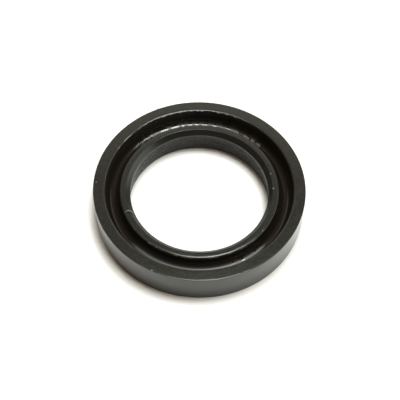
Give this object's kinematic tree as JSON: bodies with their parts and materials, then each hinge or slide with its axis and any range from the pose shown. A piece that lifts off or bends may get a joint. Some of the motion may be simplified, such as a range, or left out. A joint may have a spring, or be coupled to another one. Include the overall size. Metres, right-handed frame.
{
  "type": "oil seal",
  "caption": "Moulded rubber oil seal: a ring with a plain outer wall for the housing, a deep round-floored groove and a bevelled inner lip that wipes a turning shaft.",
  "frame": {"origin": "centre of the flat air-side face, which the seal rests on", "axes": "+Z along the shaft axis, from the air side to the open oil side with the groove"},
  "size_m": [0.03, 0.03, 0.005],
  "materials": {
    "black_rubber": "satin moulded black rubber, slightly dusty"
  },
  "bodies": {
    "root": {"seal_ring": "black_rubber"}
  },
  "joints": []
}
